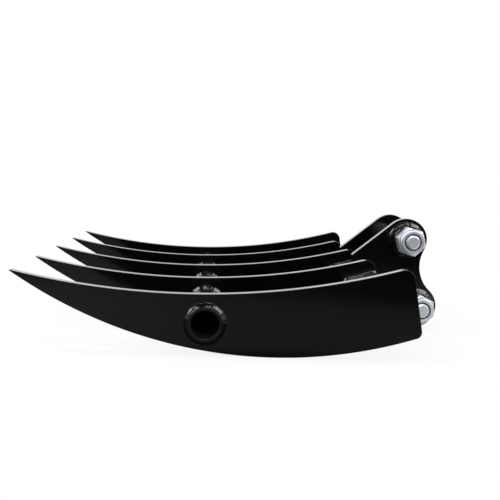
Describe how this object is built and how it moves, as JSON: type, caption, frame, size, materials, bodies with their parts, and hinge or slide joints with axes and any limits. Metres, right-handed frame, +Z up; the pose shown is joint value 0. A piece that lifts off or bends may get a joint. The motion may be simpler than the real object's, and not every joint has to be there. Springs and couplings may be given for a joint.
{
  "type": "excavator rake",
  "caption": "Excavator rake: curved plate tines welded on a round pipe and a square tube, with bossed ear plates and long bolts that serve as the pins.",
  "frame": {"origin": "the middle of the rake's length and width, on the floor that it lies on", "axes": "+X from the tines' points to the ears, +Y across the rake from the nuts to the bolts' heads, +Z up, with the tines' points upwards"},
  "size_m": [0.5826, 0.6256, 0.1632],
  "materials": {
    "black_paint": "glossy black powder coat over cut plate, with the weld beads under it",
    "zinc_plate": "bright clear zinc plating",
    "nylon": "dark blue-black nylon"
  },
  "bodies": {
    "root": {"cross_pipe": "black_paint", "cross_tube": "black_paint", "tine_1": "black_paint", "tine_2": "black_paint", "tine_3": "black_paint", "tine_4": "black_paint", "tine_5": "black_paint", "nut_side_ear": "black_paint", "head_side_ear": "black_paint", "nut_side_upper_boss": "black_paint", "nut_side_lower_boss": "black_paint", "head_side_upper_boss": "black_paint", "head_side_lower_boss": "black_paint", "pipe_weld_1": "black_paint", "pipe_weld_2": "black_paint", "pipe_weld_3": "black_paint", "pipe_weld_4": "black_paint", "pipe_weld_5": "black_paint", "tube_weld_1": "black_paint", "tube_weld_2": "black_paint", "tube_weld_3": "black_paint", "tube_weld_4": "black_paint", "tube_weld_5": "black_paint", "nut_side_ear_weld": "black_paint", "head_side_ear_weld": "black_paint", "nut_side_upper_boss_weld": "black_paint", "nut_side_lower_boss_weld": "black_paint", "head_side_upper_boss_weld": "black_paint", "head_side_lower_boss_weld": "black_paint"},
    "upper_bolt": {"upper_bolt": "zinc_plate"},
    "upper_insert": {"upper_nut_insert": "nylon"},
    "upper_nut": {"upper_nut": "zinc_plate"},
    "lower_bolt": {"lower_bolt": "zinc_plate"},
    "lower_insert": {"lower_nut_insert": "nylon"},
    "lower_nut": {"lower_nut": "zinc_plate"}
  },
  "joints": [
    {"name": "upper_bolt_draw", "type": "slide", "parent": "root", "child": "upper_bolt", "axis": [0, 1, 0], "range_m": [0, 0.1825]},
    {"name": "upper_nut_run", "type": "slide", "parent": "root", "child": "upper_insert", "axis": [0, -1, 0], "range_m": [0, 0.0256]},
    {"name": "upper_nut_turn", "type": "hinge", "parent": "upper_insert", "child": "upper_nut", "pos_m": [0.24085, 0, 0.13143], "axis": [0, -1, 0], "range_deg": [0, 2880]},
    {"name": "lower_bolt_draw", "type": "slide", "parent": "root", "child": "lower_bolt", "axis": [0, 1, 0], "range_m": [0, 0.1825]},
    {"name": "lower_nut_run", "type": "slide", "parent": "root", "child": "lower_insert", "axis": [0, -1, 0], "range_m": [0, 0.0256]},
    {"name": "lower_nut_turn", "type": "hinge", "parent": "lower_insert", "child": "lower_nut", "pos_m": [0.26051, 0, 0.03175], "axis": [0, -1, 0], "range_deg": [0, 2880]}
  ],
  "couplings": [
    {"joint": "upper_nut_run", "follows": "upper_nut_turn", "m_per_rad": 0.00050532},
    {"joint": "lower_nut_run", "follows": "lower_nut_turn", "m_per_rad": 0.00050532}
  ]
}
